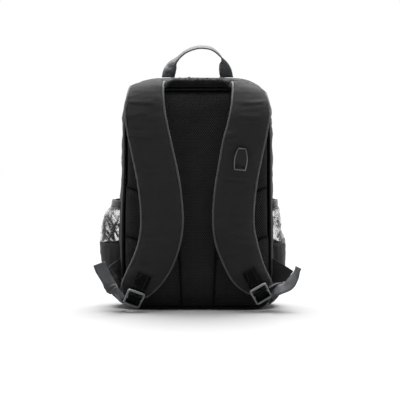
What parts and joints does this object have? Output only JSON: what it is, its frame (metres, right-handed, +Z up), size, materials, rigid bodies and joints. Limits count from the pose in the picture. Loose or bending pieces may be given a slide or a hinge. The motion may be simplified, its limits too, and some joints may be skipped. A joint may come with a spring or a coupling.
{
  "type": "laptop backpack",
  "caption": "Plain black laptop backpack with padded shoulder straps, a mesh back panel, mesh side pockets, a webbing grab handle and a charging port on one strap.",
  "frame": {"origin": "middle of the flat base, on the floor", "axes": "+Z up, -Y towards the wearer's back, +X to the right as seen from the wearer's side"},
  "size_m": [0.3972, 0.226, 0.5145],
  "materials": {
    "cloth": "matt woven polyester",
    "mesh": "matt spacer mesh",
    "webbing": "ribbed webbing",
    "binding": "grosgrain tape",
    "plastic": "satin",
    "rubber": "matt moulded"
  },
  "bodies": {
    "root": {"body_shell": "cloth", "yoke": "cloth", "strap_left": "cloth", "strap_right": "cloth", "wing_left": "cloth", "wing_right": "cloth", "pocket_base_left": "cloth", "pocket_base_right": "cloth", "front_pocket": "cloth", "back_panel": "mesh", "pocket_mesh_left": "mesh", "pocket_mesh_right": "mesh", "main_zip": "webbing", "front_pocket_zip": "webbing", "handle": "webbing", "strap_patch_left": "webbing", "strap_patch_right": "webbing", "webbing_left": "webbing", "webbing_right": "webbing", "webbing_loop_left": "webbing", "webbing_loop_right": "webbing", "webbing_tail_left": "webbing", "webbing_tail_right": "webbing", "panel_binding": "binding", "strap_binding_left": "binding", "strap_binding_right": "binding", "pocket_collar_left": "binding", "pocket_collar_right": "binding", "buckle_left": "plastic", "buckle_right": "plastic", "zip_slider_left": "plastic", "zip_slider_right": "plastic", "front_zip_slider": "plastic", "usb_socket": "plastic", "usb_housing": "rubber"}
  },
  "joints": []
}
